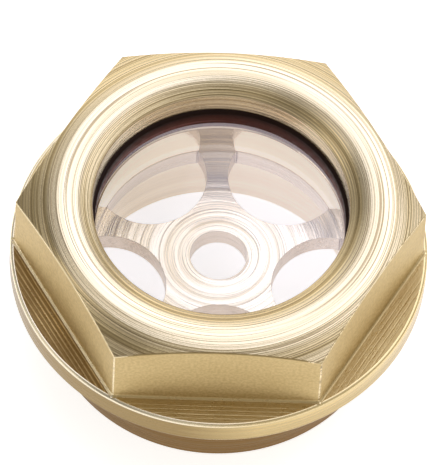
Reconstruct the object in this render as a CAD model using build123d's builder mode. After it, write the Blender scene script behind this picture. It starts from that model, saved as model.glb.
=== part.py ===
from build123d import *
import os
from math import radians, tan

# Brass window plug for the level of a tank: a hexagon head with a round glass, on a threaded spigot.
# It stands on its spigot end, +Z up, with the origin on its axis at that end. Millimetres.

# Turned body
thread_diameter = 47.8
spigot_length = 13.3
spigot_chamfer = 0.45
flange_diameter = 59.0
flange_thickness = 4.0
head_height = 12.6
flange_edge_break = 0.25

# Hexagon milled on the head
across_flats = 50.0
flat_count = 6
foot_radius = 1.5

# Crown turned on top of the head
rim_radius = 23.1
bevel_width = 1.45
bevel_drop = 0.4
corner_cone_angle = 26.0

# Window opening, from the top down
dish_radius = 21.5
dish_depth = 1.4
window_radius = 18.05
lip_height = 3.4
bore_radius = 19.7
bore_chamfer = 0.2

# Seal ring and glass
seal_width = 2.1
seal_thickness = 2.9
seal_edge_break = 0.5
glass_thickness = 1.7
glass_side_clearance = 0.15
glass_chamfer = 0.2

# Spacer ring that carries the glass
spacer_wall = 2.1
spacer_height = 6.0
spacer_edge_break = 0.2

# Reflector: a disc with five arms, pressed into the bore under the spacer ring
reflector_thickness = 3.1
reflector_lead_in = 0.4
hub_hole_radius = 4.0
arm_count = 5
arm_turn = 1.6
port_radius = 8.1
port_circle_radius = 16.35
port_corner_radius = 0.6

# Levels, from the spigot end up
flange_top = spigot_length + flange_thickness
head_top = flange_top + head_height
lip_top = head_top - dish_depth
lip_underside = lip_top - lip_height
glass_top = lip_underside - seal_thickness
glass_underside = glass_top - glass_thickness
reflector_top = glass_underside - spacer_height
reflector_underside = reflector_top - reflector_thickness

# Radii that follow from the sizes above
thread_radius = thread_diameter / 2
flange_radius = flange_diameter / 2
flat_distance = across_flats / 2
bevel_radius = rim_radius + bevel_width
bevel_level = head_top - bevel_drop
cone_level = bevel_level - (flange_radius - bevel_radius) * tan(radians(corner_cone_angle))
seal_inner_radius = bore_radius - seal_width
spacer_inner_radius = bore_radius - spacer_wall

# Body, turned: spigot, flange, crown, window opening and bore
with BuildPart() as body:
    with BuildSketch(Plane.XZ):
        with BuildLine():
            Polyline(
                (bore_radius + bore_chamfer, 0),
                (thread_radius - spigot_chamfer, 0),
                (thread_radius, spigot_chamfer),
                (thread_radius, spigot_length),
                (flange_radius - flange_edge_break, spigot_length),
                (flange_radius, spigot_length + flange_edge_break),
                (flange_radius, cone_level),
                (bevel_radius, bevel_level),
                (rim_radius, head_top),
                (dish_radius, head_top),
                (window_radius, lip_top),
                (window_radius, lip_underside),
                (bore_radius, lip_underside),
                (bore_radius, bore_chamfer),
                close=True,
            )
        make_face()
    revolve(axis=Axis.Z)

    # Body, milled: each flat is one pass of a cutter with a rounded corner
    pass_length = 2 * flange_radius
    pass_depth = 2 * (flange_radius - flat_distance)
    pass_height = 2 * head_height
    with BuildSketch(Plane.YZ) as flat_pass:
        with Locations((flat_distance, flange_top)):
            Rectangle(pass_depth, pass_height, align=(Align.MIN, Align.MIN))
        fillet(flat_pass.vertices().group_by(Axis.Y)[0].sort_by(Axis.X)[0], foot_radius)
    with PolarLocations(0, flat_count):
        add(extrude(flat_pass.sketch, amount=pass_length / 2, both=True, mode=Mode.PRIVATE), mode=Mode.SUBTRACT)

body.part.label = "body"

# Seal ring between the lip and the glass
with BuildPart() as seal_ring:
    with BuildSketch(Plane.XZ) as seal_section:
        with Locations((seal_inner_radius, glass_top)):
            Rectangle(bore_radius - seal_inner_radius, seal_thickness, align=(Align.MIN, Align.MIN))
        chamfer(seal_section.vertices().group_by(Axis.X)[0], seal_edge_break)
    revolve(axis=Axis.Z)

seal_ring.part.label = "seal_ring"

# Glass disc
with BuildPart() as glass:
    with BuildSketch(Plane.XY.offset(glass_underside)):
        Circle(bore_radius - glass_side_clearance)
    extrude(amount=glass_thickness)
    chamfer(glass.edges(), glass_chamfer)

glass.part.label = "glass"

# Spacer ring, standing on the reflector
with BuildPart() as spacer_ring:
    with BuildSketch(Plane.XZ) as spacer_section:
        with Locations((spacer_inner_radius, reflector_top)):
            Rectangle(spacer_wall, spacer_height, align=(Align.MIN, Align.MIN))
        chamfer(spacer_section.vertices().group_by(Axis.X)[0], spacer_edge_break)
    revolve(axis=Axis.Z)

spacer_ring.part.label = "spacer_ring"

# Reflector: a disc cut through between its arms, out to the spacer ring's wall
with BuildPart() as reflector:
    with BuildSketch(Plane.XY.offset(reflector_underside)):
        Circle(bore_radius)
        Circle(hub_hole_radius, mode=Mode.SUBTRACT)
    extrude(amount=reflector_thickness)
    chamfer(reflector.edges().group_by(Axis.Z)[0].sort_by(SortBy.LENGTH)[-1], reflector_lead_in)

    first_port = 90 + arm_turn + 180 / arm_count
    with BuildSketch(Plane.XY.offset(reflector_underside)) as ports:
        with PolarLocations(port_circle_radius, arm_count, start_angle=first_port):
            Circle(port_radius)
        Circle(spacer_inner_radius, mode=Mode.INTERSECT)
        fillet(ports.vertices(), port_corner_radius)
    extrude(amount=reflector_thickness, mode=Mode.SUBTRACT)

reflector.part.label = "reflector"

os.makedirs("parts", exist_ok=True)
for piece in (body, seal_ring, glass, spacer_ring, reflector):
    export_step(piece.part, f"parts/{piece.part.label}.step")
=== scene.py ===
"""Dressing of the brass sight glass plug: turned and milled brass, rubber seal ring, clear glass."""

from math import atan2, cos, degrees, pi, radians, sin, tan

import bmesh
import bpy
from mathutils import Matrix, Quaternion, Vector


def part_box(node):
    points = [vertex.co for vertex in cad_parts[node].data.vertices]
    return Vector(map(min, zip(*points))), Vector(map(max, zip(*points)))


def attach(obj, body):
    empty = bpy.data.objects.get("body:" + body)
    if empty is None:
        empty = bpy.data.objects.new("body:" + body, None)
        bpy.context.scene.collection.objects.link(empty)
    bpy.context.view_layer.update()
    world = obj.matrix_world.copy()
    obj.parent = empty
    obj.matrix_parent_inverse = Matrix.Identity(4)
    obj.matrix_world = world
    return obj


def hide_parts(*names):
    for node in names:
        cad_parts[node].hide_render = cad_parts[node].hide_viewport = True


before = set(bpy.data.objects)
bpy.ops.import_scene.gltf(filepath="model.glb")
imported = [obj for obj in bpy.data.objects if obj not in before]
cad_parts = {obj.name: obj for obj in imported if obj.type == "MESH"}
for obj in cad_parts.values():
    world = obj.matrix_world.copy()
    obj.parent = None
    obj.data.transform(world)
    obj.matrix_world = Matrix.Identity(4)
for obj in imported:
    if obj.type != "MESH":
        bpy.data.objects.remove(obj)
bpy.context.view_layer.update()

MM = 0.001

# ---------------------------------------------------------------- sizes, from the frame
body_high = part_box("body")[1]
glass_low, glass_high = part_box("glass")
seal_low, seal_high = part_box("seal_ring")
spacer_low, spacer_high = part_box("spacer_ring")
reflector_low, reflector_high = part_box("reflector")

FLANGE_RADIUS = body_high.x
BORE_RADIUS = spacer_high.x
SPIGOT_RADIUS = 23.9 * MM
FLANGE_UNDERSIDE = 13.3 * MM
FLANGE_THICKNESS = 4.0 * MM
FLANGE_TOP = FLANGE_UNDERSIDE + FLANGE_THICKNESS
FLAT_DISTANCE = 25.0 * MM
FOOT_RADIUS = 0.45 * MM
RIM_RADIUS = 23.1 * MM
BEVEL_WIDTH = 1.45 * MM
BEVEL_DROP = 0.4 * MM
BEVEL_RADIUS = RIM_RADIUS + BEVEL_WIDTH
BEVEL_LEVEL = body_high.z - BEVEL_DROP
CONE_SLOPE = radians(26)
CONE_LEVEL = BEVEL_LEVEL - (FLANGE_RADIUS - BEVEL_RADIUS) * tan(CONE_SLOPE)
DISH_RADIUS = 21.5 * MM
DISH_SLOPE = radians(28)
DISH_DEPTH = 1.4 * MM
LIP_TOP = body_high.z - DISH_DEPTH
WINDOW_RADIUS = 18.05 * MM
SPACER_WALL = 2.1 * MM
SPACER_BORE = BORE_RADIUS - SPACER_WALL
SEAL_WIDTH = 2.1 * MM
SEAL_BORE = BORE_RADIUS - SEAL_WIDTH
GROUND_SEAT = 0.34 * MM
HUB_HOLE_RADIUS = 4.0 * MM
ARM_COUNT = 5
# One arm points to +Y, 1.6 degrees past it, and the ports are half way between the arms
FIRST_ARM = 90 + 1.6
FIRST_PORT = radians(FIRST_ARM + 180 / ARM_COUNT)
PORT_RADIUS = 8.1 * MM
PORT_CIRCLE = 16.35 * MM
PORT_CORNER = 0.3 * MM
THREAD_PITCH = 2.309 * MM
THREAD_DEPTH = 1.25 * MM
THREAD_HALF_ANGLE = radians(27.5)
THREAD_START = 5.9 * MM
THREAD_TURNS = 3
RELIEF_WIDTH = 1.6 * MM
RELIEF_RUN_OUT = THREAD_DEPTH * 0.6
SPIGOT_CHAMFER = 0.45 * MM
FLANGE_CHAMFER = 0.25 * MM
BORE_CHAMFER = 0.2 * MM

# An edge break: its full width on the flange's rim, and a share of it on every other edge
EDGE_BREAK = 0.50 * MM
LIGHT_EDGE = 0.3

TURNED_SEGMENTS = 256
PORT_SEGMENTS = 128
HELIX_STEPS = 96
MERGE_DISTANCE = 1e-6
SMOOTH_MARGIN = 12
NEAR = 0.1 * MM


# ---------------------------------------------------------------- modelling helpers
def clear_selection():
    """Back to object mode, with nothing selected."""
    if bpy.context.object and bpy.context.object.mode != "OBJECT":
        bpy.ops.object.mode_set(mode="OBJECT")
    bpy.ops.object.select_all(action="DESELECT")


def only(piece):
    """Selects one piece and makes it the active one."""
    clear_selection()
    piece.select_set(True)
    bpy.context.view_layer.objects.active = piece


def extrude_rings(rings, radius, height):
    """Draws the selected outline, which has this radius and height, on to each (radius, height)."""
    for next_radius, next_height in rings:
        bpy.ops.mesh.extrude_region_move(TRANSFORM_OT_translate={"value": (0, 0, next_height - height)})
        grow = next_radius / radius
        bpy.ops.transform.resize(value=(grow, grow, 1), center_override=(0, 0, next_height))
        radius, height = next_radius, next_height


def turned(name, rings, closed=True):
    """A turned piece: a circle drawn from ring to ring, back to the first where it is closed."""
    clear_selection()
    radius, height = rings[0]
    bpy.ops.mesh.primitive_circle_add(vertices=TURNED_SEGMENTS, radius=radius, location=(0, 0, height))
    piece = bpy.context.object
    piece.name = name
    bpy.ops.object.mode_set(mode="EDIT")
    if not closed:
        bpy.ops.mesh.edge_face_add()
    last = [rings[0]] if closed else []
    extrude_rings(rings[1:] + last, radius, height)
    bpy.ops.mesh.select_all(action="SELECT")
    bpy.ops.mesh.remove_doubles(threshold=MERGE_DISTANCE)
    bpy.ops.mesh.normals_make_consistent(inside=False)
    bpy.ops.object.mode_set(mode="OBJECT")
    bpy.ops.object.transform_apply(location=True, rotation=True, scale=True)
    return piece


def combine(piece, tool, operation):
    """Boolean of a piece with a tool, which is used up."""
    only(piece)
    step = piece.modifiers.new("cut", "BOOLEAN")
    step.object = tool
    step.operation = operation
    step.solver = "EXACT"
    bpy.ops.object.modifier_apply(modifier=step.name)
    bpy.data.objects.remove(tool)


def mark_edges(piece, corner, spared, full):
    """Marks the edges sharper than the corner angle, apart from those in the spared band of height.

    The flange's rim, in the full band of height, gets the whole width, and the others a light edge.
    """
    mesh = bmesh.new()
    mesh.from_mesh(piece.data)
    weight = mesh.edges.layers.float.new("bevel_weight_edge")
    for edge in mesh.edges:
        middle = (edge.verts[0].co + edge.verts[1].co) / 2
        sharp = len(edge.link_faces) == 2 and edge.calc_face_angle() > radians(corner)
        if not sharp or spared[0] < middle.z < spared[1]:
            edge[weight] = 0.0
        elif full[0] < middle.z < full[1] and middle.xy.length > FLANGE_RADIUS - NEAR / 2:
            edge[weight] = 1.0
        else:
            edge[weight] = LIGHT_EDGE
    mesh.to_mesh(piece.data)
    mesh.free()


def break_edges(piece, width, corner=9.5, segments=2, spared=(0, 0), full=(0, 0), finish=-1):
    """Small rounds on every edge sharper than the corner angle, and smooth shading between."""
    only(piece)
    bpy.ops.object.mode_set(mode="EDIT")
    bpy.ops.mesh.select_all(action="SELECT")
    bpy.ops.mesh.remove_doubles(threshold=2 * MERGE_DISTANCE)
    bpy.ops.object.mode_set(mode="OBJECT")
    mark_edges(piece, corner, spared, full)
    only(piece)
    step = piece.modifiers.new("edge_break", "BEVEL")
    step.width = width
    step.segments = segments
    step.limit_method = "WEIGHT"
    step.use_clamp_overlap = False
    step.harden_normals = True
    step.material = finish
    bpy.ops.object.shade_smooth_by_angle(angle=radians(corner + SMOOTH_MARGIN))
    bpy.ops.object.modifier_apply(modifier=step.name)


# ---------------------------------------------------------------- material groups
def new_group(name, inputs, outputs):
    """An empty shader group with its sockets: (name, kind, default) in and (name, kind) out."""
    group = bpy.data.node_groups.new(name, "ShaderNodeTree")
    for socket, kind, value in inputs:
        made = group.interface.new_socket(socket, in_out="INPUT", socket_type=kind)
        if value is not None:
            made.default_value = value
    for socket, kind in outputs:
        group.interface.new_socket(socket, in_out="OUTPUT", socket_type=kind)
    return group, group.nodes.new("NodeGroupInput"), group.nodes.new("NodeGroupOutput")


def math_node(tree, operation, first, second=None):
    """One sum on numbers or on the outputs of other nodes."""
    node = tree.nodes.new("ShaderNodeMath")
    node.operation = operation
    for place, value in enumerate((first, second)):
        if value is None:
            continue
        if isinstance(value, (int, float)):
            node.inputs[place].default_value = value
        else:
            tree.links.new(value, node.inputs[place])
    return node.outputs[0]


def times(tree, first, second):
    """One value times another."""
    return math_node(tree, "MULTIPLY", first, second)


def plus(tree, first, second):
    """One value added to another."""
    return math_node(tree, "ADD", first, second)


def combine_xyz(tree, x, y, z):
    """A place from three numbers or outputs."""
    node = tree.nodes.new("ShaderNodeCombineXYZ")
    for place, value in enumerate((x, y, z)):
        if isinstance(value, (int, float)):
            node.inputs[place].default_value = value
        else:
            tree.links.new(value, node.inputs[place])
    return node.outputs[0]


def axes_of(tree, vector):
    """The x, y and z of a place."""
    split = tree.nodes.new("ShaderNodeSeparateXYZ")
    tree.links.new(vector, split.inputs[0])
    return split.outputs


def scaled(tree, vector, factors):
    """A place stretched by one factor along each axis."""
    node = tree.nodes.new("ShaderNodeVectorMath")
    node.operation = "MULTIPLY"
    node.inputs[1].default_value = factors
    tree.links.new(vector, node.inputs[0])
    return node.outputs[0]


def noise_node(tree, vector, scale, detail=2.0, roughness=0.5, w=None):
    """Soft random noise at a place, with a fourth coordinate where w is given."""
    node = tree.nodes.new("ShaderNodeTexNoise")
    node.noise_dimensions = "4D" if w is not None else "3D"
    node.inputs["Scale"].default_value = scale
    node.inputs["Detail"].default_value = detail
    node.inputs["Roughness"].default_value = roughness
    tree.links.new(vector, node.inputs["Vector"])
    if w is not None:
        tree.links.new(w, node.inputs["W"])
    return node.outputs["Fac"]


def stretch(tree, value, low, high, out_low=0.0, out_high=1.0):
    """Maps low to high onto out_low to out_high, and holds the value there outside them."""
    node = tree.nodes.new("ShaderNodeMapRange")
    node.clamp = True
    node.inputs["From Min"].default_value = low
    node.inputs["From Max"].default_value = high
    node.inputs["To Min"].default_value = out_low
    node.inputs["To Max"].default_value = out_high
    tree.links.new(value, node.inputs["Value"])
    return node.outputs["Result"]


def mix_colour(tree, mask, first, second):
    """The first colour where the mask is 0, and the second where it is 1."""
    node = tree.nodes.new("ShaderNodeMix")
    node.data_type = "RGBA"
    for socket, value in ((0, mask), (6, first), (7, second)):
        if isinstance(value, (int, float)):
            node.inputs[socket].default_value = value
        elif isinstance(value, tuple):
            node.inputs[socket].default_value = (*value, 1.0)
        else:
            tree.links.new(value, node.inputs[socket])
    return node.outputs[2]


def build_lathe_lines():
    """Rings left by turning: fine lines, slow bands, short ticks and a few deeper grooves."""
    group, given, result = new_group(
        "lathe_lines",
        [("Vector", "NodeSocketVector", None), ("Spacing", "NodeSocketFloat", 0.2)],
        [("Lines", "NodeSocketFloat"), ("Bands", "NodeSocketFloat"), ("Ticks", "NodeSocketFloat"),
         ("Grooves", "NodeSocketFloat")],
    )
    drift = 0.35
    tick_drift = 3.0
    groove_drift = 1.4
    band_scale = (0.12, 0.12, 0.8)
    groove_scale = (0.8, 0.8, groove_drift)
    x, y, z = axes_of(group, given.outputs["Vector"])
    radius = math_node(group, "SQRT", plus(group, times(group, x, x), times(group, y, y)))
    angle = math_node(group, "ARCTAN2", y, x)
    pitch = times(group, given.outputs["Spacing"], MM)
    across = math_node(group, "DIVIDE", radius, pitch)
    along = math_node(group, "DIVIDE", z, pitch)
    turn_x = times(group, math_node(group, "COSINE", angle), drift)
    turn_y = times(group, math_node(group, "SINE", angle), drift)
    place = combine_xyz(group, across, along, turn_x)
    tick_place = combine_xyz(group, across, along, times(group, turn_x, tick_drift))
    lines = noise_node(group, place, 1.0, 1.0, 0.5, turn_y)
    bands = noise_node(group, scaled(group, place, band_scale), 1.0, 2.0, 0.55, turn_y)
    ticks = noise_node(group, tick_place, 1.0, 2.0, 0.6, times(group, turn_y, tick_drift))
    grooves = noise_node(group, scaled(group, place, groove_scale), 1.0, 1.0, 0.5,
                         times(group, turn_y, groove_drift))
    group.links.new(stretch(group, grooves, 0.59, 0.64), result.inputs["Grooves"])
    group.links.new(stretch(group, lines, 0.44, 0.58), result.inputs["Lines"])
    group.links.new(stretch(group, bands, 0.3, 0.7), result.inputs["Bands"])
    group.links.new(stretch(group, ticks, 0.35, 0.68), result.inputs["Ticks"])
    return group


def build_mill_lines():
    """Straight cutter lines that run along the hexagon's flats."""
    group, given, result = new_group(
        "mill_lines",
        [("Vector", "NodeSocketVector", None), ("Spacing", "NodeSocketFloat", 0.57)],
        [("Lines", "NodeSocketFloat"), ("Fine", "NodeSocketFloat"), ("Bands", "NodeSocketFloat")],
    )
    wander_scale = 55.0
    wander_amount = 0.8
    climb_share = 0.35
    strength_scale = 0.9
    fine_lines = 4.0
    fine_breaks = 260.0
    band_scale = (90.0, 90.0, 150.0)
    x, y, z = axes_of(group, given.outputs["Vector"])
    lean_x = times(group, x, sin(radians(60)))
    lean_y = times(group, y, cos(radians(60)))
    first = math_node(group, "ABSOLUTE", y)
    second = math_node(group, "ABSOLUTE", plus(group, lean_x, lean_y))
    third = math_node(group, "ABSOLUTE", math_node(group, "SUBTRACT", lean_x, lean_y))
    distance = math_node(group, "MAXIMUM", first, math_node(group, "MAXIMUM", second, third))
    pitch = times(group, given.outputs["Spacing"], MM)
    across = math_node(group, "DIVIDE", distance, pitch)
    height = math_node(group, "DIVIDE", z, pitch)
    drift = combine_xyz(group, times(group, x, wander_scale), times(group, y, wander_scale), height)
    wander = times(group, noise_node(group, drift, 1.0, 1.0), wander_amount)
    wave = math_node(group, "SINE", times(group, plus(group, across, wander), 2 * pi))
    climb = math_node(group, "SINE", times(group, plus(group, height, wander), 2 * pi))
    strength_place = combine_xyz(group, times(group, across, strength_scale), height, 0.0)
    strength = stretch(group, noise_node(group, strength_place, 1.3, 1.0), 0.35, 0.65, 0.35, 1.0)
    lines = times(group, plus(group, wave, times(group, climb, climb_share)), strength)
    fine_place = combine_xyz(group, times(group, across, fine_lines), times(group, height, fine_lines),
                             times(group, plus(group, x, y), fine_breaks))
    fine = noise_node(group, fine_place, 1.0, 2.0, 0.6)
    bands = noise_node(group, scaled(group, given.outputs["Vector"], band_scale), 1.0, 2.0)
    group.links.new(stretch(group, lines, 0.35, 0.95, 1.0, 0.0), result.inputs["Lines"])
    group.links.new(stretch(group, fine, 0.3, 0.7), result.inputs["Fine"])
    group.links.new(stretch(group, bands, 0.3, 0.7), result.inputs["Bands"])
    return group


def build_speckle():
    """Even fine grain with a few small pits, on any finish."""
    group, given, result = new_group(
        "metal_speckle",
        [("Vector", "NodeSocketVector", None), ("Scale", "NodeSocketFloat", 2200.0)],
        [("Grain", "NodeSocketFloat"), ("Pits", "NodeSocketFloat")],
    )
    grain = group.nodes.new("ShaderNodeTexNoise")
    grain.inputs["Detail"].default_value = 2.0
    group.links.new(given.outputs["Vector"], grain.inputs["Vector"])
    group.links.new(given.outputs["Scale"], grain.inputs["Scale"])
    pits = group.nodes.new("ShaderNodeTexVoronoi")
    pits.inputs["Scale"].default_value = 900.0
    group.links.new(given.outputs["Vector"], pits.inputs["Vector"])
    group.links.new(stretch(group, grain.outputs["Fac"], 0.36, 0.64), result.inputs["Grain"])
    group.links.new(stretch(group, pits.outputs["Distance"], 0.02, 0.12, 1.0, 0.0), result.inputs["Pits"])
    return group


LATHE_LINES = build_lathe_lines()
MILL_LINES = build_mill_lines()
SPECKLE = build_speckle()


def start_material(name):
    """A new material with its node tree and main shader."""
    material = bpy.data.materials.new(name)
    material.use_nodes = True
    tree = material.node_tree
    return material, tree, tree.nodes["Principled BSDF"]


def place_group(tree, group, vector, **values):
    """One of the pattern groups, at a place and with its own values."""
    node = tree.nodes.new("ShaderNodeGroup")
    node.node_tree = group
    tree.links.new(vector, node.inputs["Vector"])
    for socket, value in values.items():
        node.inputs[socket].default_value = value
    return node


def object_place(tree):
    """The place on the object itself, in metres."""
    return tree.nodes.new("ShaderNodeTexCoord").outputs["Object"]


def add_bump(tree, shader, height, strength, distance, under=None):
    """Fine relief on the shader's normal, on top of the relief under it."""
    bump = tree.nodes.new("ShaderNodeBump")
    bump.inputs["Strength"].default_value = strength
    bump.inputs["Distance"].default_value = distance
    tree.links.new(height, bump.inputs["Height"])
    if under is not None:
        tree.links.new(under, bump.inputs["Normal"])
    tree.links.new(bump.outputs["Normal"], shader.inputs["Normal"])
    return bump.outputs["Normal"]


GRAIN_DEPTH = 0.03 * MM
RING_DEPTH = 0.06 * MM
GROOVE_DEPTH = 0.05 * MM
FINE_CUT_DEPTH = 0.04 * MM
CUT_DEPTH = 0.08 * MM
# Painted side shading: none from +6 mm in x, full from -12 mm
PAINTED_SIDE_FROM = 6 * MM
PAINTED_SIDE_TO = -12 * MM


def turned_brass(name, light, dark, spacing, rough, relief, anisotropy, groove, line,
                 metallic=1.0, painted_side=0.0):
    """Brass off the lathe, its rings at a spacing in mm.

    Groove and line say how strongly the grooves and the fine lines are drawn, relief how deep they
    look, rough is the least and the most roughness, and painted_side shifts the side towards -X to the
    dark colour: painted shade, or a painted highlight where that colour is the brighter one.
    """
    material, tree, shader = start_material(name)
    place = object_place(tree)
    lathe = place_group(tree, LATHE_LINES, place, Spacing=spacing)
    speckle = place_group(tree, SPECKLE, place)
    # Painted shade: the side towards -X is mixed towards the dark colour, whatever the light
    painted_side_mask = times(tree, stretch(tree, axes_of(tree, place)[0], PAINTED_SIDE_FROM, PAINTED_SIDE_TO), painted_side)
    bands = stretch(tree, lathe.outputs["Bands"], 0.0, 1.0, 0.3, 1.0)
    base = mix_colour(tree, math_node(tree, "SUBTRACT", bands, painted_side_mask), dark, light)
    strong = stretch(tree, lathe.outputs["Bands"], 1.0, 0.0, 0.25 * line, line)
    lined = mix_colour(tree, times(tree, lathe.outputs["Lines"], strong), base, LINE_BRASS)
    scored = mix_colour(tree, times(tree, lathe.outputs["Grooves"], groove), lined, SCORE_BRASS)
    pitted = mix_colour(tree, times(tree, speckle.outputs["Pits"], 0.35), scored, dark)
    tree.links.new(pitted, shader.inputs["Base Color"])
    uneven = plus(tree, times(tree, lathe.outputs["Ticks"], 0.6), times(tree, lathe.outputs["Bands"], 0.4))
    tree.links.new(stretch(tree, uneven, 0.15, 0.85, *rough), shader.inputs["Roughness"])
    shader.inputs["Metallic"].default_value = metallic
    shader.inputs["Anisotropic"].default_value = anisotropy
    around = tree.nodes.new("ShaderNodeTangent")
    around.direction_type = "RADIAL"
    around.axis = "Z"
    tree.links.new(around.outputs[0], shader.inputs["Tangent"])
    grain = add_bump(tree, shader, speckle.outputs["Grain"], 0.12, GRAIN_DEPTH)
    fine = add_bump(tree, shader, lathe.outputs["Lines"], relief, RING_DEPTH, grain)
    add_bump(tree, shader, lathe.outputs["Grooves"], relief, GROOVE_DEPTH, fine)
    return material


def milled_brass(name, light, dark, spacing, rough, relief, stripe, grain_share, metallic):
    """Brass off the cutter: straight stripes along each flat, at a spacing in mm, over a fine grain."""
    material, tree, shader = start_material(name)
    place = object_place(tree)
    mill = place_group(tree, MILL_LINES, place, Spacing=spacing)
    speckle = place_group(tree, SPECKLE, place, Scale=2400.0)
    tone = plus(tree, times(tree, mill.outputs["Bands"], 1.0 - grain_share),
                times(tree, speckle.outputs["Grain"], grain_share))
    base = mix_colour(tree, tone, dark, light)
    striped = mix_colour(tree, times(tree, mill.outputs["Lines"], stripe), base, dark)
    pitted = mix_colour(tree, times(tree, speckle.outputs["Pits"], 0.3), striped, dark)
    tree.links.new(pitted, shader.inputs["Base Color"])
    uneven = plus(tree, times(tree, mill.outputs["Fine"], 0.5), times(tree, speckle.outputs["Grain"], 0.5))
    tree.links.new(stretch(tree, uneven, 0.1, 0.9, *rough), shader.inputs["Roughness"])
    shader.inputs["Metallic"].default_value = metallic
    grain = add_bump(tree, shader, speckle.outputs["Grain"], 0.45, GRAIN_DEPTH)
    fine = add_bump(tree, shader, mill.outputs["Fine"], 0.25, FINE_CUT_DEPTH, grain)
    add_bump(tree, shader, mill.outputs["Lines"], relief, CUT_DEPTH, fine)
    return material


PALE_BRASS = (0.95, 0.80, 0.54)
GOLD_BRASS = (0.84, 0.67, 0.37)
LINE_BRASS = (0.36, 0.26, 0.11)
SCORE_BRASS = (0.26, 0.18, 0.08)
SATIN_BRASS = (0.77, 0.60, 0.30)
SHADED_BRASS = (0.60, 0.44, 0.19)
CUT_BRASS = (0.86, 0.70, 0.38)
CUT_SHADE_BRASS = (0.50, 0.37, 0.17)
# Painted shade: darker copy of the ledge colours, for the ledges towards -X
PAINTED_SHADE_LEDGE_LIGHT = (0.78, 0.58, 0.28)
PAINTED_SHADE_LEDGE_DARK = (0.25, 0.155, 0.055)
SILVERY_BRASS = (0.97, 0.90, 0.76)
GREY_BRASS = (0.70, 0.60, 0.42)
SLEEVE_LIGHT = (0.88, 0.78, 0.62)
SLEEVE_SHADE = (0.80, 0.69, 0.53)
TAN_BRASS = (0.80, 0.67, 0.49)
TAN_SHADE_BRASS = (0.70, 0.56, 0.38)
WALL_BRASS = (0.88, 0.75, 0.62)
WALL_SHADE_BRASS = (0.66, 0.52, 0.39)
SIDE_BRASS = (0.80, 0.62, 0.30)
SIDE_SHADE_BRASS = (0.34, 0.235, 0.095)
# Painted shade: the spigot's brass, coloured dark for the shade under the flange
SPIGOT_PAINTED_SHADE_BRASS = (0.29, 0.165, 0.052)
SPIGOT_DEEP_PAINTED_SHADE_BRASS = (0.18, 0.10, 0.035)
# Painted highlight: bright colour for the hexagon's edges and foot towards -X
BRIGHT_BRASS = (0.82, 0.69, 0.43)
# Painted highlight for the flange's rim towards -X
RIM_PAINTED_HIGHLIGHT_BRASS = (0.97, 0.87, 0.66)
# Painted shade: a dark line on the hexagon's edges in front
EDGE_PAINTED_SHADE_BRASS = (0.46, 0.34, 0.15)
CREAM_BRASS = (0.95, 0.83, 0.61)
PEACH_BRASS = (0.85, 0.69, 0.42)

CROWN_BRASS = turned_brass("crown_brass", PALE_BRASS, GOLD_BRASS, spacing=0.14, rough=(0.11, 0.24),
                           relief=0.22, anisotropy=0.4, groove=0.80, line=0.95)
DISH_BRASS = turned_brass("dish_brass", CREAM_BRASS, PEACH_BRASS, spacing=0.14, rough=(0.10, 0.22),
                          relief=0.22, anisotropy=0.4, groove=0.75, line=0.65)
BORE_BRASS = turned_brass("bore_brass", TAN_BRASS, TAN_SHADE_BRASS, spacing=0.30, rough=(0.16, 0.26),
                          relief=0.1, anisotropy=0.0, groove=0.04, line=0.06)
SLEEVE_BRASS = turned_brass("sleeve_brass", SLEEVE_LIGHT, SLEEVE_SHADE, spacing=0.30, rough=(0.05, 0.11),
                            relief=0.03, anisotropy=0.0, groove=0.04, line=0.05)
# Painted shade: the flange's side is mixed towards its dark colour on the side towards -X
FLANGE_BRASS = turned_brass("flange_brass", SIDE_BRASS, SIDE_SHADE_BRASS, spacing=0.30, rough=(0.20, 0.34),
                            relief=0.2, anisotropy=0.3, groove=0.2, line=0.2, painted_side=1.0)
# Painted shade: brass darkened for the shade under the flange
SPIGOT_BRASS = turned_brass("spigot_painted_shade_brass", SPIGOT_PAINTED_SHADE_BRASS, SPIGOT_DEEP_PAINTED_SHADE_BRASS, spacing=0.30, rough=(0.24, 0.40),
                            relief=0.3, anisotropy=0.3, groove=0.3, line=0.2)
FLAT_BRASS = milled_brass("flat_brass", SATIN_BRASS, SHADED_BRASS, spacing=0.9, rough=(0.44, 0.60),
                          relief=0.04, stripe=0.0, grain_share=0.7, metallic=0.75)
LEDGE_BRASS = milled_brass("ledge_brass", CUT_BRASS, CUT_SHADE_BRASS, spacing=0.66, rough=(0.26, 0.42),
                           relief=0.5, stripe=0.75, grain_share=0.2, metallic=0.8)
# Painted shade: the ledges towards -X get this darker copy of the ledge finish
PAINTED_SHADE_LEDGE_BRASS = milled_brass("painted_shade_ledge_brass", PAINTED_SHADE_LEDGE_LIGHT, PAINTED_SHADE_LEDGE_DARK, spacing=0.60,
                                rough=(0.26, 0.42), relief=0.5, stripe=0.85, grain_share=0.15, metallic=0.8)
# Painted highlight: bright edges and foot towards -X
PAINTED_HIGHLIGHT_EDGE_BRASS = turned_brass("painted_highlight_edge_brass", BRIGHT_BRASS, PALE_BRASS, spacing=0.30, rough=(0.20, 0.34),
                          relief=0.1, anisotropy=0.0, groove=0.2, line=0.1)
# Painted highlight: the rim turns near-white towards -X
RIM_EDGE = turned_brass("rim_painted_highlight_brass", SIDE_BRASS, RIM_PAINTED_HIGHLIGHT_BRASS, spacing=0.30, rough=(0.16, 0.28),
                        relief=0.1, anisotropy=0.0, groove=0.2, line=0.1, painted_side=1.0)
# Painted shade: dark edges in front
PAINTED_SHADE_EDGE = turned_brass("painted_shade_edge_brass", EDGE_PAINTED_SHADE_BRASS, SCORE_BRASS, spacing=0.30, rough=(0.34, 0.48),
                         relief=0.1, anisotropy=0.0, groove=0.3, line=0.3)
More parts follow.
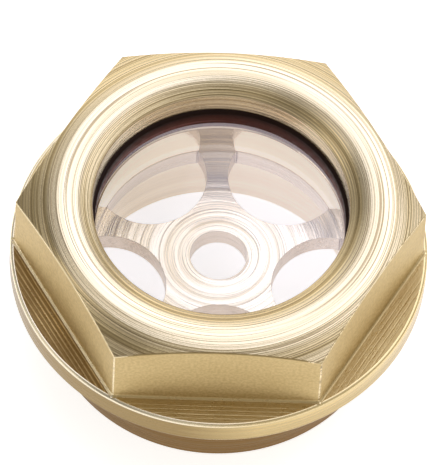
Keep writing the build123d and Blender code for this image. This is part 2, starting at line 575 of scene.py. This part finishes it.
# Painted shade: the reflector's face is mixed towards grey on the side towards -X
REFLECTOR_FACE = turned_brass("reflector_face_brass", SILVERY_BRASS, GREY_BRASS, spacing=0.14,
                              rough=(0.11, 0.24), relief=0.12, anisotropy=0.2, groove=0.6, line=0.7,
                              painted_side=0.7)
PORT_WALL = turned_brass("port_wall_brass", WALL_BRASS, WALL_SHADE_BRASS, spacing=0.4, rough=(0.26, 0.40),
                         relief=0.2, anisotropy=0.0, groove=0.2, line=0.2, metallic=0.85)

# Painted shadow under the lip, the rubber's brown, and its painted highlight streaks
SEAL_SHADOW = (0.022, 0.010, 0.008)
SEAL_BROWN = (0.150, 0.046, 0.034)
SEAL_PAINTED_HIGHLIGHT = (0.26, 0.10, 0.085)
SEAL_BROWN_BELOW = seal_low.z + 1.3 * MM
SEAL_SHADOW_ABOVE = seal_low.z + 2.5 * MM

GLASS_SHADE = (0.965, 0.960, 0.975)
GLASS_CLEAR = (0.98, 0.975, 0.99)
GLASS_IOR = 1.5
# Painted reflection on the glass: a faint pale glow that grows towards +X and +Y
NO_PAINTED_REFLECTION = (0.0, 0.0, 0.0)
PAINTED_REFLECTION_TINT = (0.80, 0.74, 0.86)
PAINTED_REFLECTION_START = -8 * MM
PAINTED_REFLECTION_FULL = 15 * MM
FROST_SHADE = (0.94, 0.84, 0.92)
FROST_LIGHT = (0.99, 0.92, 0.98)
FROST_PAINTED_GLOW = (0.95, 0.82, 0.92)


def seal_material():
    """Brown rubber, with painted shadow under the lip and painted highlight streaks below it."""
    material, tree, shader = start_material("seal_rubber_brown")
    place = object_place(tree)
    speckle = place_group(tree, SPECKLE, place, Scale=1500.0)
    lathe = place_group(tree, LATHE_LINES, place, Spacing=0.8)
    # Painted shadow at the top, towards the lip, and brown below
    below = stretch(tree, axes_of(tree, place)[2], SEAL_BROWN_BELOW, SEAL_SHADOW_ABOVE, 1.0, 0.0)
    brown_share = times(tree, below, stretch(tree, lathe.outputs["Bands"], 0.0, 1.0, 0.6, 1.0))
    brown = mix_colour(tree, brown_share, SEAL_SHADOW, SEAL_BROWN)
    # Painted highlight streaks on the brown part
    colour = mix_colour(tree, times(tree, lathe.outputs["Grooves"], below), brown, SEAL_PAINTED_HIGHLIGHT)
    tree.links.new(colour, shader.inputs["Base Color"])
    tree.links.new(stretch(tree, speckle.outputs["Grain"], 0.0, 1.0, 0.34, 0.5), shader.inputs["Roughness"])
    shader.inputs["Specular IOR Level"].default_value = 0.08
    add_bump(tree, shader, speckle.outputs["Grain"], 0.25, GRAIN_DEPTH)
    return material


def glass_material():
    """Clear glass with a faint pale glow, a painted reflection that grows to one side. Light for other
    pieces passes it.
    """
    material, tree, shader = start_material("clear_glass")
    place = object_place(tree)
    speckle = place_group(tree, SPECKLE, place, Scale=300.0)
    shader.inputs["Transmission Weight"].default_value = 1.0
    shader.inputs["IOR"].default_value = GLASS_IOR
    tint = mix_colour(tree, speckle.outputs["Grain"], GLASS_SHADE, GLASS_CLEAR)
    tree.links.new(tint, shader.inputs["Base Color"])
    x, y = axes_of(tree, place)[:2]
    # Painted reflection: the glass glows faintly, more towards +X and +Y
    painted_reflection = mix_colour(tree, stretch(tree, plus(tree, x, y), PAINTED_REFLECTION_START, PAINTED_REFLECTION_FULL), NO_PAINTED_REFLECTION, PAINTED_REFLECTION_TINT)
    tree.links.new(painted_reflection, shader.inputs["Emission Color"])
    shader.inputs["Emission Strength"].default_value = 0.09
    tree.links.new(stretch(tree, speckle.outputs["Grain"], 0.0, 1.0, 0.0, 0.02), shader.inputs["Roughness"])
    clear = tree.nodes.new("ShaderNodeBsdfTransparent")
    path = tree.nodes.new("ShaderNodeLightPath")
    either = math_node(tree, "MAXIMUM", path.outputs["Is Shadow Ray"], path.outputs["Is Diffuse Ray"])
    choose = tree.nodes.new("ShaderNodeMixShader")
    tree.links.new(either, choose.inputs[0])
    tree.links.new(shader.outputs[0], choose.inputs[1])
    tree.links.new(clear.outputs[0], choose.inputs[2])
    tree.links.new(choose.outputs[0], tree.nodes["Material Output"].inputs["Surface"])
    return material


def ground_glass_material():
    """The ground seat of the glass, white and matt, with a faint painted glow for light carried in the
    glass.
    """
    material, tree, shader = start_material("ground_glass")
    place = object_place(tree)
    speckle = place_group(tree, SPECKLE, place, Scale=1800.0)
    frost = mix_colour(tree, speckle.outputs["Grain"], FROST_SHADE, FROST_LIGHT)
    tree.links.new(frost, shader.inputs["Base Color"])
    tree.links.new(stretch(tree, speckle.outputs["Grain"], 0.0, 1.0, 0.5, 0.7), shader.inputs["Roughness"])
    shader.inputs["Transmission Weight"].default_value = 0.1
    shader.inputs["IOR"].default_value = GLASS_IOR
    # Painted light: a faint glow where light carried inside the glass is not traced
    shader.inputs["Emission Color"].default_value = (*FROST_PAINTED_GLOW, 1.0)
    shader.inputs["Emission Strength"].default_value = 0.05
    return material


# ---------------------------------------------------------------- body
def hexagon_envelope():
    """The space that the hexagon cutter leaves: flats above, rounded foot, wide below the flange top."""
    clear_selection()
    beyond = 2 * MM
    wide = FLANGE_RADIUS * 1.4
    foot_steps = 12
    top = body_high.z + beyond
    bpy.ops.mesh.primitive_circle_add(
        vertices=6, radius=FLAT_DISTANCE / cos(pi / 6), fill_type="NGON", location=(0, 0, top)
    )
    envelope = bpy.context.object
    bpy.ops.transform.rotate(value=radians(30), orient_axis="Z", center_override=(0, 0, top))
    bpy.ops.object.transform_apply(location=False, rotation=True, scale=False)
    bpy.ops.object.mode_set(mode="EDIT")
    walk = [(FLAT_DISTANCE, FLANGE_TOP + FOOT_RADIUS)]
    for step in range(1, foot_steps + 1):
        lean = radians(90 * step / foot_steps)
        distance = FLAT_DISTANCE + FOOT_RADIUS * (1 - cos(lean))
        walk.append((distance, FLANGE_TOP + FOOT_RADIUS * (1 - sin(lean))))
    walk.append((wide, FLANGE_TOP))
    walk.append((wide, -beyond))
    extrude_rings(walk, FLAT_DISTANCE, top)
    bpy.ops.mesh.select_all(action="SELECT")
    bpy.ops.mesh.normals_make_consistent(inside=False)
    bpy.ops.object.mode_set(mode="OBJECT")
    bpy.ops.object.transform_apply(location=True, rotation=True, scale=True)
    return envelope


def dish_rings():
    """The dish rolls over from nearly level at the rim to its full slope, and runs on to the window."""
    steps = 10
    roundness = 3.5
    slopes = [DISH_SLOPE * (1 - (1 - (step + 0.5) / steps) ** roundness) for step in range(steps)]
    run = (DISH_RADIUS - WINDOW_RADIUS) / steps
    scale = (body_high.z - LIP_TOP) / sum(run * tan(slope) for slope in slopes)
    radius, height = DISH_RADIUS, body_high.z
    rings = [(radius, height)]
    for slope in slopes:
        radius -= run
        height -= run * tan(slope) * scale
        rings.append((radius, height))
    return rings


def thread_cutter():
    """The groove between the threads: its section, swept up a helix, with both ends closed."""
    clear_selection()
    root = SPIGOT_RADIUS - THREAD_DEPTH
    proud = 0.35 * MM
    mouth_half = THREAD_PITCH * 0.49
    flank = tan(THREAD_HALF_ANGLE) * (THREAD_DEPTH + proud)
    root_half = mouth_half - flank
    bpy.ops.mesh.primitive_plane_add(size=1.0, location=(0, 0, 0))
    cutter = bpy.context.object
    cutter.name = "thread_cutter"
    corners = ((root, -root_half), (root + THREAD_DEPTH + proud, -root_half - flank),
               (root + THREAD_DEPTH + proud, root_half + flank), (root, root_half))
    for vertex, (radius, height) in zip((cutter.data.vertices[n] for n in (0, 1, 3, 2)), corners):
        vertex.co = (radius, 0, THREAD_START + height)
    bpy.ops.object.mode_set(mode="EDIT")
    bpy.ops.mesh.select_all(action="SELECT")
    bpy.ops.mesh.delete(type="ONLY_FACE")
    bpy.ops.object.mode_set(mode="OBJECT")
    sweep = cutter.modifiers.new("helix", "SCREW")
    sweep.axis = "Z"
    sweep.angle = 2 * pi
    sweep.screw_offset = THREAD_PITCH
    sweep.iterations = THREAD_TURNS
    sweep.steps = HELIX_STEPS
    sweep.render_steps = HELIX_STEPS
    bpy.ops.object.modifier_apply(modifier=sweep.name)
    bpy.ops.object.mode_set(mode="EDIT")
    bpy.ops.mesh.select_mode(type="EDGE")
    bpy.ops.mesh.select_all(action="DESELECT")
    bpy.ops.mesh.select_non_manifold()
    bpy.ops.mesh.fill()
    bpy.ops.mesh.select_all(action="SELECT")
    bpy.ops.mesh.normals_make_consistent(inside=False)
    bpy.ops.object.mode_set(mode="OBJECT")
    return cutter


# Turns are in degrees from +X. The painted highlight side and its painted shade ledges face -X and -Y, the
# painted shade edges face -Y
PAINTED_HIGHLIGHT_SIDE = (178, 244)
PAINTED_SHADE_LEDGE_SIDE = (180, 240)
PAINTED_SHADE_TURN = 270
PAINTED_SHADE_HALF_SPAN = 27
RIM_BAND = 0.6 * MM
LIP_BAND = 0.2 * MM
DISH_BAND = 1.7 * MM
BORE_BAND = 0.4 * MM
FLANGE_SIDE_TOP = FLANGE_TOP - 0.52 * MM
EDGE_FINISH_FROM = FLANGE_UNDERSIDE + 1 * MM


def between(value, limits):
    """Whether a value lies inside a low and a high limit."""
    return limits[0] < value < limits[1]


def edge_finish(turn, radius, height):
    """The flange's rim is bright, with a painted highlight towards -X. The hexagon's edges get a painted
    highlight on one side and painted shade in front.
    """
    if radius > FLANGE_RADIUS - RIM_BAND and height < FLANGE_TOP + NEAR:
        return RIM_EDGE
    if between(turn, PAINTED_HIGHLIGHT_SIDE):
        return PAINTED_HIGHLIGHT_EDGE_BRASS
    return PAINTED_SHADE_EDGE if abs(turn - PAINTED_SHADE_TURN) < PAINTED_SHADE_HALF_SPAN else CROWN_BRASS


def body_finish(centre, normal, broken_edge):
    """The finish that tools have left on a face of the body, by its place and direction, with painted
    highlight and painted shade on some sides.
    """
    radius = (centre.x ** 2 + centre.y ** 2) ** 0.5
    turn = degrees(atan2(centre.y, centre.x)) % 360
    foot = (FLANGE_TOP, FLANGE_TOP + FOOT_RADIUS)
    outward = normal.x * centre.x + normal.y * centre.y > 0
    if broken_edge and radius > BEVEL_RADIUS + NEAR and centre.z > EDGE_FINISH_FROM:
        return edge_finish(turn, radius, centre.z)
    # Painted highlight along the foot of the flats towards -X
    if between(centre.z, foot) and between(turn, PAINTED_HIGHLIGHT_SIDE) and normal.z < 0.99:
        return PAINTED_HIGHLIGHT_EDGE_BRASS
    if radius < WINDOW_RADIUS + LIP_BAND and centre.z > seal_high.z:
        return DISH_BRASS
    if radius < WINDOW_RADIUS + DISH_BAND and centre.z > LIP_TOP:
        return CROWN_BRASS
    if radius < BORE_RADIUS + BORE_BAND and centre.z < seal_high.z + NEAR:
        return BORE_BRASS
    if centre.z < FLANGE_UNDERSIDE - NEAR / 2:
        return SPIGOT_BRASS
    if centre.z < FLANGE_SIDE_TOP or (centre.z < FLANGE_TOP and normal.z < 0.9):
        return FLANGE_BRASS
    if centre.z < FLANGE_TOP + FOOT_RADIUS * 0.6 and normal.z > 0.4:
        # The ledges towards -X take the painted shade copy
        return PAINTED_SHADE_LEDGE_BRASS if between(turn, PAINTED_SHADE_LEDGE_SIDE) else LEDGE_BRASS
    if abs(normal.z) < 0.5 and outward:
        return FLAT_BRASS
    return DISH_BRASS if radius < BEVEL_RADIUS - NEAR else CROWN_BRASS


def make_body():
    """Turned all over, then milled to a hexagon above the flange and threaded below it."""
    body = turned("plug_body", [
        (BORE_RADIUS + BORE_CHAMFER, 0),
        (SPIGOT_RADIUS - SPIGOT_CHAMFER, 0),
        (SPIGOT_RADIUS, SPIGOT_CHAMFER),
        (SPIGOT_RADIUS, FLANGE_UNDERSIDE - RELIEF_WIDTH - RELIEF_RUN_OUT),
        (SPIGOT_RADIUS - THREAD_DEPTH, FLANGE_UNDERSIDE - RELIEF_WIDTH),
        (SPIGOT_RADIUS - THREAD_DEPTH, FLANGE_UNDERSIDE),
        (FLANGE_RADIUS - FLANGE_CHAMFER, FLANGE_UNDERSIDE),
        (FLANGE_RADIUS, FLANGE_UNDERSIDE + FLANGE_CHAMFER),
        (FLANGE_RADIUS, CONE_LEVEL),
        (BEVEL_RADIUS, BEVEL_LEVEL),
        (RIM_RADIUS, body_high.z),
        *dish_rings(),
        (WINDOW_RADIUS, seal_high.z),
        (BORE_RADIUS, seal_high.z),
        (BORE_RADIUS, BORE_CHAMFER),
    ])
    combine(body, hexagon_envelope(), "INTERSECT")
    combine(body, thread_cutter(), "DIFFERENCE")
    finishes = (CROWN_BRASS, DISH_BRASS, BORE_BRASS, FLANGE_BRASS, SPIGOT_BRASS, FLAT_BRASS, LEDGE_BRASS,
                PAINTED_SHADE_LEDGE_BRASS, PAINTED_HIGHLIGHT_EDGE_BRASS, PAINTED_SHADE_EDGE, RIM_EDGE)
    for material in finishes:
        body.data.materials.append(material)
    broken = finishes.index(PAINTED_HIGHLIGHT_EDGE_BRASS)
    break_edges(body, EDGE_BREAK, segments=3, spared=(1 * MM, FLANGE_UNDERSIDE - NEAR),
                full=(FLANGE_TOP - NEAR, FLANGE_TOP + NEAR), finish=broken)
    for face in body.data.polygons:
        finish = body_finish(face.center, face.normal, face.material_index == broken)
        face.material_index = finishes.index(finish)
    return body


# ---------------------------------------------------------------- inner pieces
def make_seal():
    """A ring with a soft upper edge round the window and a small round at its foot."""
    low, high = seal_low.z, seal_high.z
    soft, foot = 0.5 * MM, 0.2 * MM
    steps = 6
    rings = [(BORE_RADIUS, low), (BORE_RADIUS, high)]
    for step in range(steps + 1):
        lean = radians(90 * step / steps)
        rings.append((SEAL_BORE + soft * (1 - sin(lean)), high - soft * (1 - cos(lean))))
    for step in range(steps + 1):
        lean = radians(90 * step / steps)
        rings.append((SEAL_BORE + foot * (1 - cos(lean)), low + foot * (1 - sin(lean))))
    seal = turned("rubber_seal", rings)
    only(seal)
    bpy.ops.object.shade_smooth_by_angle(angle=radians(35))
    seal.data.materials.append(seal_material())
    return seal


def make_glass():
    """A disc with broken edges; its underside is ground where it rests on the sleeve."""
    side = glass_high.x
    edge = 0.2 * MM
    play = 0.02 * MM
    low, high = glass_low.z + play, glass_high.z - play
    glass = turned("sight_glass", [
        (SPACER_BORE + GROUND_SEAT, low),
        (side - edge, low),
        (side, low + edge),
        (side, high - edge),
        (side - edge, high),
    ], closed=False)
    only(glass)
    bpy.ops.object.shade_smooth_by_angle(angle=radians(20))
    glass.data.materials.append(glass_material())
    glass.data.materials.append(ground_glass_material())
    for face in glass.data.polygons:
        rests = face.normal.z < -0.5 and len(face.vertices) == 4
        face.material_index = 1 if rests else 0
    return glass


def make_spacer():
    """A plain sleeve with small chamfers on its bore."""
    low, high = spacer_low.z, spacer_high.z
    edge = 0.2 * MM
    spacer = turned("spacer_sleeve", [
        (SPACER_BORE + edge, low),
        (BORE_RADIUS, low),
        (BORE_RADIUS, high),
        (SPACER_BORE + edge, high),
        (SPACER_BORE, high - edge),
        (SPACER_BORE, low + edge),
    ])
    break_edges(spacer, 0.15 * MM)
    spacer.data.materials.append(SLEEVE_BRASS)
    return spacer


def port_cutter():
    """One port: a round cutter cut back to the sleeve's bore, its corners rounded."""
    middle = (reflector_low.z + reflector_high.z) / 2
    deep = (reflector_high.z - reflector_low.z) * 2
    deeper = deep * 1.2
    clear_selection()
    bpy.ops.mesh.primitive_cylinder_add(
        vertices=PORT_SEGMENTS, radius=PORT_RADIUS, depth=deep,
        location=(PORT_CIRCLE * cos(FIRST_PORT), PORT_CIRCLE * sin(FIRST_PORT), middle),
    )
    cutter = bpy.context.object
    bpy.ops.object.transform_apply(location=True, rotation=True, scale=True)
    clear_selection()
    bpy.ops.mesh.primitive_cylinder_add(
        vertices=TURNED_SEGMENTS, radius=SPACER_BORE, depth=deeper, location=(0, 0, middle)
    )
    combine(cutter, bpy.context.object, "INTERSECT")
    only(cutter)
    step = cutter.modifiers.new("corner_round", "BEVEL")
    step.width = PORT_CORNER
    step.segments = 5
    step.limit_method = "ANGLE"
    step.angle_limit = radians(35)
    bpy.ops.object.mode_set(mode="EDIT")
    bpy.ops.mesh.select_all(action="SELECT")
    bpy.ops.mesh.remove_doubles(threshold=MERGE_DISTANCE)
    bpy.ops.object.mode_set(mode="OBJECT")
    bpy.ops.object.modifier_apply(modifier=step.name)
    return cutter


def make_reflector():
    """A disc with a centre hole and five ports, which leave five arms."""
    low, high = reflector_low.z, reflector_high.z
    lead = 0.4 * MM
    reflector = turned("reflector_disc", [
        (HUB_HOLE_RADIUS, low),
        (BORE_RADIUS - lead, low),
        (BORE_RADIUS, low + lead),
        (BORE_RADIUS, high),
        (HUB_HOLE_RADIUS, high),
    ])
    first = port_cutter()
    for place in range(ARM_COUNT):
        tool = first.copy()
        tool.data = first.data.copy()
        bpy.context.scene.collection.objects.link(tool)
        tool.rotation_euler.z = 2 * pi * place / ARM_COUNT
        combine(reflector, tool, "DIFFERENCE")
    bpy.data.objects.remove(first)
    break_edges(reflector, 0.2 * MM)
    reflector.data.materials.append(REFLECTOR_FACE)
    reflector.data.materials.append(PORT_WALL)
    for face in reflector.data.polygons:
        face.material_index = 0 if abs(face.normal.z) > 0.5 else 1
    return reflector


def dress(piece, node):
    """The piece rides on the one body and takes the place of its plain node."""
    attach(piece, "root")
    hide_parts(node)


dress(make_body(), "body")
dress(make_seal(), "seal_ring")
dress(make_spacer(), "spacer_ring")
dress(make_reflector(), "reflector")
dress(make_glass(), "glass")


# ---------------------------------------------------------------- stage, light and camera
FLOOR_SIZE = 6.0
FLOOR_GAP = 0.02 * MM
FLOOR_SHADE = (0.86, 0.86, 0.87)
FLOOR_WHITE = (0.90, 0.90, 0.90)
PLAIN_GLOW = 0.74
THROUGH_GLASS_GLOW = 0.66
MIRRORED_GLOW = 0.62

# Each patch: the turn and rise of its middle, its inner and outer angle in degrees, and its amount
TENT_LEVEL = 0.55
TENT_TINT = (1.02, 0.97, 0.88)
TENT_PATCHES = (
    (95, 8, 18, 35, 0.52),
    (198, 20, 8, 18, 0.80),
    (138, 52, 4, 18, -0.25),
    (143, 30, 3, 13, -0.30),
    (152, 46, 2, 9, -0.30),
    (203, 70, 3, 12, -0.28),
    (270, 68, 4, 13, -0.16),
    (292, 64, 8, 22, -0.12),
    (169, 50, 3, 13, 0.35),
    (215, 34, 10, 36, -0.32),
)
WINDOW_TINT = (0.94, 1.0, 1.28)
WINDOW_PATCHES = (
    (58, 62, 26, 38, 0.94),
    (72, 34, 8, 22, 0.40),
)
LAMP_TURN = 60
LAMP_RISE = 58
LAMP_DISTANCE = 0.9
LAMP_SIZE = 0.5
LAMP_RADIANCE = 0.2
LAMP_TINT = (0.95, 1.0, 1.2)

CAMERA_TURN = radians(-91.8)
CAMERA_TILT = radians(57.7)
CAMERA_ROLL = radians(3.3)
CAMERA_DISTANCE = 1.3
AIM_HEIGHT = 21.1 * MM
AIM_SHIFT = 0.38 * MM
VIEW_WIDTH = 65.45 * MM


def make_floor():
    """White ground. It glows in the rays that see it, so that it stays white beside the plug."""
    clear_selection()
    bpy.ops.mesh.primitive_plane_add(size=FLOOR_SIZE, location=(0, 0, -FLOOR_GAP))
    floor = bpy.context.object
    floor.name = "studio_floor"
    material, tree, shader = start_material("studio_white")
    place = object_place(tree)
    tone = noise_node(tree, place, 40.0, 2.0)
    tree.links.new(mix_colour(tree, tone, FLOOR_SHADE, FLOOR_WHITE), shader.inputs["Base Color"])
    tree.links.new(stretch(tree, tone, 0.0, 1.0, 0.7, 0.8), shader.inputs["Roughness"])
    shader.inputs["Specular IOR Level"].default_value = 0.1
    glow = tree.nodes.new("ShaderNodeEmission")
    path = tree.nodes.new("ShaderNodeLightPath")
    plain = times(tree, path.outputs["Is Camera Ray"], PLAIN_GLOW)
    through = times(tree, path.outputs["Is Transmission Ray"], THROUGH_GLASS_GLOW)
    mirrored = times(tree, path.outputs["Is Glossy Ray"], MIRRORED_GLOW)
    seen = math_node(tree, "MAXIMUM", plain, math_node(tree, "MAXIMUM", through, mirrored))
    tree.links.new(seen, glow.inputs["Strength"])
    total = tree.nodes.new("ShaderNodeAddShader")
    tree.links.new(shader.outputs[0], total.inputs[0])
    tree.links.new(glow.outputs[0], total.inputs[1])
    tree.links.new(total.outputs[0], tree.nodes["Material Output"].inputs["Surface"])
    floor.data.materials.append(material)


def compass(turn, rise):
    """Unit direction at an azimuth from +X and a height above the horizon, in degrees."""
    turn, rise = radians(turn), radians(rise)
    return (cos(turn) * cos(rise), sin(turn) * cos(rise), sin(rise))


def patch(tree, ray, turn, rise, inner, outer, amount):
    """A soft-edged round patch of the tent, brighter or darker than the rest by amount."""
    along = tree.nodes.new("ShaderNodeVectorMath")
    along.operation = "DOT_PRODUCT"
    along.inputs[1].default_value = compass(turn, rise)
    tree.links.new(ray, along.inputs[0])
    edge = tree.nodes.new("ShaderNodeMapRange")
    edge.interpolation_type = "SMOOTHSTEP"
    edge.inputs["From Min"].default_value = cos(radians(outer))
    edge.inputs["From Max"].default_value = cos(radians(inner))
    edge.inputs["To Min"].default_value = 0.0
    edge.inputs["To Max"].default_value = amount
    tree.links.new(along.outputs["Value"], edge.inputs["Value"])
    return edge.outputs["Result"]


def add_patches(tree, ray, patches, level):
    """The level with every patch added, and never below nothing."""
    for values in patches:
        level = plus(tree, patch(tree, ray, *values), level)
    return math_node(tree, "MAXIMUM", level, 0.0)


def make_world():
    """A white tent with one large soft window of light, and a few darker gaps."""
    world = bpy.data.worlds.new("studio_tent")
    bpy.context.scene.world = world
    world.use_nodes = True
    tree = world.node_tree
    back = tree.nodes["Background"]
    ray = tree.nodes.new("ShaderNodeTexCoord").outputs["Generated"]
    tent = add_patches(tree, ray, TENT_PATCHES, TENT_LEVEL)
    window = add_patches(tree, ray, WINDOW_PATCHES, 0.0)
    tone = combine_xyz(tree, *(
        plus(tree, times(tree, tent, warm), times(tree, window, cool))
        for warm, cool in zip(TENT_TINT, WINDOW_TINT)
    ))
    path = tree.nodes.new("ShaderNodeLightPath")
    shade = mix_colour(tree, path.outputs["Is Camera Ray"], tone, (1.0, 1.0, 1.0))
    tree.links.new(shade, back.inputs["Color"])
    back.inputs["Strength"].default_value = 1.0


def make_window_lamp():
    """A soft round lamp in the window, which gives the shadows their direction."""
    data = bpy.data.lights.new("window_light", "AREA")
    data.shape = "DISK"
    data.size = LAMP_SIZE
    data.energy = LAMP_RADIANCE * pi * pi * (LAMP_SIZE / 2) ** 2
    data.color = LAMP_TINT
    lamp = bpy.data.objects.new("window_light", data)
    bpy.context.scene.collection.objects.link(lamp)
    away = Vector(compass(LAMP_TURN, LAMP_RISE)).normalized()
    lamp.location = Vector((0, 0, body_high.z / 2)) + away * LAMP_DISTANCE
    lamp.rotation_euler = (-away).to_track_quat("-Z", "Y").to_euler()


def make_camera():
    """A long lens that looks down on the plug from the front, held slightly askew."""
    level = cos(CAMERA_TILT)
    back = Vector((cos(CAMERA_TURN) * level, sin(CAMERA_TURN) * level, sin(CAMERA_TILT)))
    across = Vector((-sin(CAMERA_TURN), cos(CAMERA_TURN), 0))
    aim = Vector((0, 0, AIM_HEIGHT)) - across * AIM_SHIFT
    data = bpy.data.cameras.new("main_camera")
    data.sensor_width = 36.0
    data.lens = data.sensor_width * CAMERA_DISTANCE / VIEW_WIDTH
    camera = bpy.data.objects.new("main_camera", data)
    bpy.context.scene.collection.objects.link(camera)
    camera.location = aim + back * CAMERA_DISTANCE
    camera.rotation_mode = "QUATERNION"
    camera.rotation_quaternion = (-back).to_track_quat("-Z", "Y") @ Quaternion((0, 0, 1), CAMERA_ROLL)
    data.clip_start = 0.05
    data.clip_end = 20.0
    bpy.context.scene.camera = camera


make_floor()
make_world()
make_window_lamp()
make_camera()
bpy.context.scene.view_settings.view_transform = "Standard"
